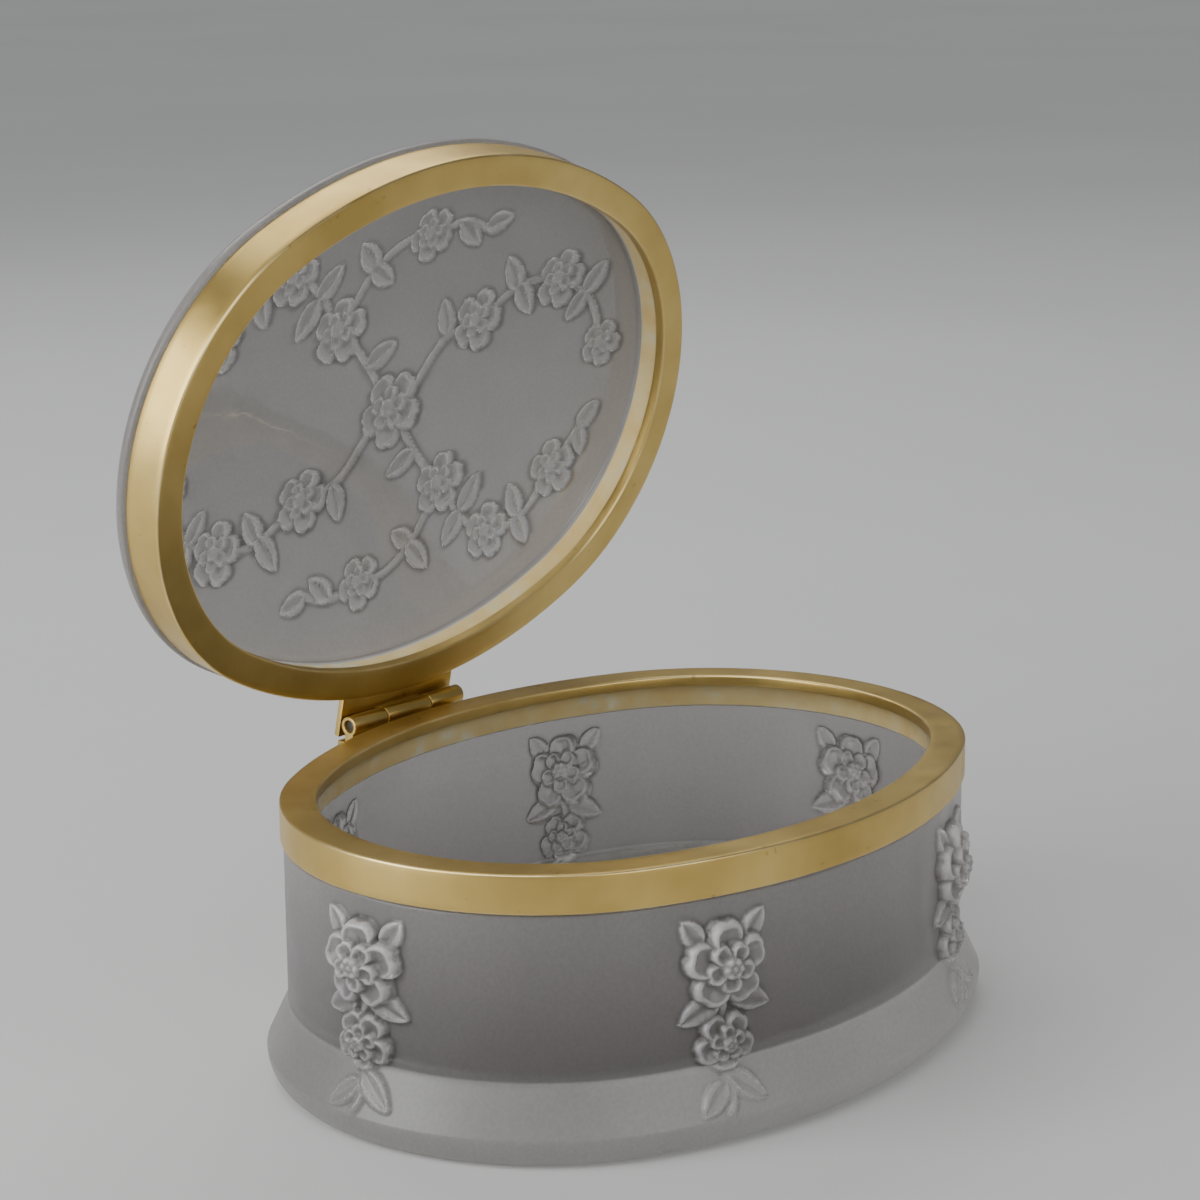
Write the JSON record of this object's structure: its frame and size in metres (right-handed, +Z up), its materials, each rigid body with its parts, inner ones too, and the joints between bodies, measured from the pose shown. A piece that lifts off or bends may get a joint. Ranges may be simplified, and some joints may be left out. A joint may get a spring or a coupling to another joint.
{
  "type": "glass casket box",
  "caption": "Oval moulded-glass casket with a hinged domed glass lid, both rimmed in gilt brass collars; lid shown open.",
  "frame": {"origin": "centre of the flat ground underside, on the table", "axes": "+X along the long axis of the oval, +Y towards the hinge at the back, +Z up"},
  "size_m": [0.1692, 0.1412, 0.1806],
  "materials": {
    "frosted_glass": "acid-frosted outside, clear polished inside",
    "gilt_brass": "satin gilt, slightly tarnished",
    "gilding_cement": "matt cream setting cement",
    "pin_steel": "dull steel"
  },
  "bodies": {
    "base": {"glass_bowl": "frosted_glass", "base_cement": "gilding_cement", "base_collar": "gilt_brass", "base_hinge_leaf": "gilt_brass", "hinge_pin": "pin_steel"},
    "lid": {"glass_lid": "frosted_glass", "lid_cement": "gilding_cement", "lid_collar": "gilt_brass", "lid_hinge_leaf": "gilt_brass"}
  },
  "joints": [
    {"name": "lid_hinge", "type": "hinge", "parent": "base", "child": "lid", "pos_m": [0, 0.0643, 0.05655], "axis": [-1, 0, 0], "range_deg": [-78, 14]}
  ]
}
